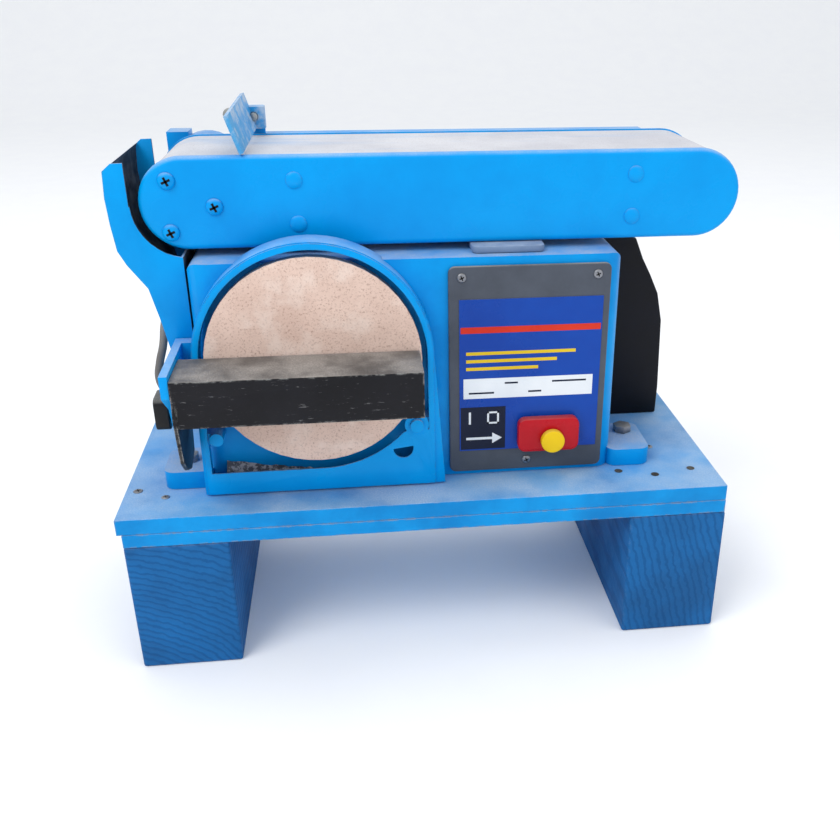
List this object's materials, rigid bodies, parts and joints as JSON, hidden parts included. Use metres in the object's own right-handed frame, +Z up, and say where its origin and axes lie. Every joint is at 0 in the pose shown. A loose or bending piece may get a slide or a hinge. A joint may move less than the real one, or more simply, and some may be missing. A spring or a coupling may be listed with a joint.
{
  "type": "belt and disc sander",
  "caption": "Benchtop belt-and-disc sander with a tilting belt bed, a shrouded sanding disc with a tilting work table, and a pull switch, bolted to a board on timber blocks.",
  "frame": {"origin": "centre of the machine's footprint box at floor level, under the timber blocks, cord left out", "axes": "+X to the right along the sanding belt, +Y to the back, +Z up"},
  "size_m": [0.4614, 0.3445, 0.4008],
  "materials": {
    "blue_paint": "glossy blue machine enamel, brushed on, chipped",
    "painted_timber": "softwood and plywood under thin blue paint, dusty on top",
    "steel": "bright steel",
    "cast_iron": "dark cast iron",
    "aluminium": "machined aluminium",
    "copper_windings": "varnished copper windings in a laminated core",
    "disc_abrasive": "worn aluminium oxide grit on paper",
    "belt_abrasive": "worn grey grit on cloth",
    "black_paint": "satin black enamel, scratched",
    "black_plastic": "moulded black plastic, dusty",
    "grey_plastic": "moulded dark grey plastic",
    "label_film": "printed plastic film",
    "red_plastic": "moulded red plastic",
    "yellow_plastic": "moulded yellow plastic",
    "black_rubber": "black rubber",
    "grey_rubber": "aged grey rubber",
    "cord_rubber": "dusty grey cord sheath"
  },
  "bodies": {
    "stand": {"timber_block_left": "painted_timber", "timber_block_right": "painted_timber", "board_lower": "painted_timber", "board_upper": "painted_timber", "hold_down_bolt_1": "steel", "hold_down_bolt_2": "steel", "hold_down_bolt_3": "steel", "hold_down_bolt_4": "steel", "base_casting": "blue_paint", "bed_rest_pad": "grey_rubber", "disc_shroud": "blue_paint", "disc_cover_plate": "blue_paint", "cover_screw_left": "steel", "cover_screw_right": "steel", "switch_panel": "grey_plastic", "label_plate": "label_film", "switch_body": "black_plastic", "drive_housing": "blue_paint", "drive_cover": "blue_paint", "drive_belt": "black_rubber", "drum_rear_bearing": "steel", "dust_chute": "blue_paint", "table_arm": "blue_paint", "electrics_cover": "black_plastic", "run_capacitor": "aluminium", "motor_housing": "cast_iron", "stator_core": "copper_windings", "motor_end_bell_front": "cast_iron", "motor_end_bell_rear": "cast_iron", "front_bearing": "steel", "rear_bearing": "steel", "cord_relief": "black_rubber", "cord_tube": "cord_rubber", "cord_coil": "cord_rubber", "mains_plug": "black_rubber"},
    "motor_rotor": {"motor_shaft": "steel", "rotor_core": "cast_iron", "cooling_fan": "black_plastic", "motor_pulley": "aluminium", "disc_plate": "aluminium", "abrasive_disc": "disc_abrasive"},
    "bed": {"bed_front_plate": "blue_paint", "bed_frame": "cast_iron", "bed_rear_plate": "blue_paint", "sanding_belt": "belt_abrasive", "drum_bearing_cap": "cast_iron", "tension_spring": "steel"},
    "work_stop": {"work_stop": "blue_paint", "work_stop_bolt": "cast_iron"},
    "drive_drum": {"drive_drum": "black_rubber", "drum_pulley": "aluminium"},
    "idler_carriage": {"idler_carriage": "cast_iron"},
    "idler_drum": {"idler_drum": "aluminium"},
    "tension_lever": {"tension_lever": "steel"},
    "tracking_knob": {"tracking_knob": "black_plastic"},
    "bed_lock": {"bed_lock_lever": "steel"},
    "disc_table": {"disc_table": "black_paint"},
    "table_lock": {"table_lock_knob": "black_plastic"},
    "switch_paddle": {"switch_paddle": "red_plastic"},
    "switch_key": {"switch_key": "yellow_plastic"}
  },
  "joints": [
    {"name": "disc_spin", "type": "hinge", "parent": "stand", "child": "motor_rotor", "pos_m": [-0.0827, 0.009, 0.2337], "axis": [0, 1, 0], "continuous": true},
    {"name": "bed_tilt", "type": "hinge", "parent": "stand", "child": "bed", "pos_m": [-0.16385, 0.009, 0.3391], "axis": [0, -1, 0], "range_deg": [0, 90]},
    {"name": "drive_drum_spin", "type": "hinge", "parent": "bed", "child": "drive_drum", "pos_m": [-0.16385, 0.009, 0.3391], "axis": [0, 1, 0], "continuous": true},
    {"name": "idler_release", "type": "slide", "parent": "bed", "child": "idler_carriage", "axis": [-1, 0, 0], "range_m": [0, 0.007], "deforming": ["tension_spring"]},
    {"name": "idler_drum_spin", "type": "hinge", "parent": "idler_carriage", "child": "idler_drum", "pos_m": [0.19915, 0.009, 0.3391], "axis": [0, 1, 0], "continuous": true},
    {"name": "tension_lever_turn", "type": "hinge", "parent": "bed", "child": "tension_lever", "pos_m": [0.13915, 0.089, 0.3391], "axis": [0, -1, 0], "range_deg": [0, 70]},
    {"name": "tracking_knob_turn", "type": "hinge", "parent": "bed", "child": "tracking_knob", "pos_m": [0.16915, 0.084, 0.3511], "axis": [0, 1, 0], "range_deg": [-180, 180]},
    {"name": "bed_lock_turn", "type": "hinge", "parent": "bed", "child": "bed_lock", "pos_m": [-0.16385, 0.084, 0.3151], "axis": [0, 1, 0], "range_deg": [-30, 30]},
    {"name": "work_stop_swing", "type": "hinge", "parent": "bed", "child": "work_stop", "pos_m": [-0.12145, 0.075, 0.384], "axis": [0, 1, 0], "range_deg": [0, 45]},
    {"name": "table_tilt", "type": "hinge", "parent": "stand", "child": "disc_table", "pos_m": [-0.17545, -0.075, 0.236], "axis": [1, 0, 0], "range_deg": [0, 45]},
    {"name": "table_lock_turn", "type": "hinge", "parent": "stand", "child": "table_lock", "pos_m": [-0.18145, -0.06594, 0.20219], "axis": [1, 0, 0], "range_deg": [-90, 90]},
    {"name": "switch_paddle_pull", "type": "hinge", "parent": "stand", "child": "switch_paddle", "pos_m": [0.11255, -0.0559, 0.1655], "axis": [0, 0, 1], "range_deg": [0, 18]},
    {"name": "switch_key_pull", "type": "slide", "parent": "switch_paddle", "child": "switch_key", "axis": [0, -1, 0], "range_m": [0, 0.012]}
  ],
  "couplings": [
    {"joint": "drive_drum_spin", "follows": "disc_spin", "ratio": 0.9202},
    {"joint": "idler_drum_spin", "follows": "disc_spin", "ratio": 0.9202},
    {"joint": "idler_release", "follows": "tension_lever_turn", "m_per_rad": 0.0057}
  ]
}
